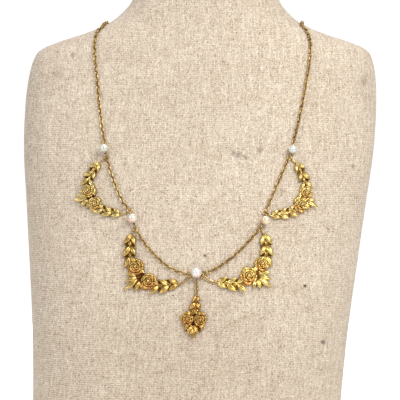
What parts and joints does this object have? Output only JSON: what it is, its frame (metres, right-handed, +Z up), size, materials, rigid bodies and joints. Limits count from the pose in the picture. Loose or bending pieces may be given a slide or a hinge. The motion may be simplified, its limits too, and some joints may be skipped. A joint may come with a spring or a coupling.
{
  "type": "gold festoon necklace on a linen neck bust",
  "caption": "Gold festoon necklace: fine cable chain, pearls, cast garlands of leaves and roses, and a rose drop, worn on a plain linen-covered neck bust.",
  "frame": {"origin": "middle of the bust's base, on the surface that it stands on", "axes": "+Z up, -Y out of the bust's front, +X to the right of someone who looks at the front"},
  "size_m": [0.1846, 0.0977, 0.245],
  "materials": {
    "linen": "plain weave, matt",
    "pearl": "soft pearl lustre",
    "chain_gold": "worn, satin",
    "garland_gold": "satin with polished highlights",
    "drop_gold": "satin"
  },
  "bodies": {
    "root": {"neck_bust": "linen", "pearl_upper_left": "pearl", "pearl_lower_left": "pearl", "pearl_centre": "pearl", "pearl_lower_right": "pearl", "pearl_upper_right": "pearl", "seat_upper_left": "chain_gold", "seat_lower_left": "chain_gold", "seat_centre": "chain_gold", "seat_lower_right": "chain_gold", "seat_upper_right": "chain_gold", "ring_upper_left": "chain_gold", "ring_left_above": "chain_gold", "ring_left_below": "chain_gold", "ring_centre_left": "chain_gold", "ring_centre_right": "chain_gold", "ring_right_below": "chain_gold", "ring_right_above": "chain_gold", "ring_upper_right": "chain_gold", "festoon_upper_left": "chain_gold", "festoon_lower_left": "chain_gold", "festoon_lower_right": "chain_gold", "festoon_upper_right": "chain_gold", "long_link_left": "chain_gold", "long_link_right": "chain_gold", "garland_upper_left": "garland_gold", "garland_lower_left": "garland_gold", "garland_lower_right": "garland_gold", "garland_upper_right": "garland_gold", "drop_chain": "chain_gold", "rose_drop": "drop_gold", "chain_left": "chain_gold", "chain_right": "chain_gold", "clasp": "chain_gold"}
  },
  "joints": []
}
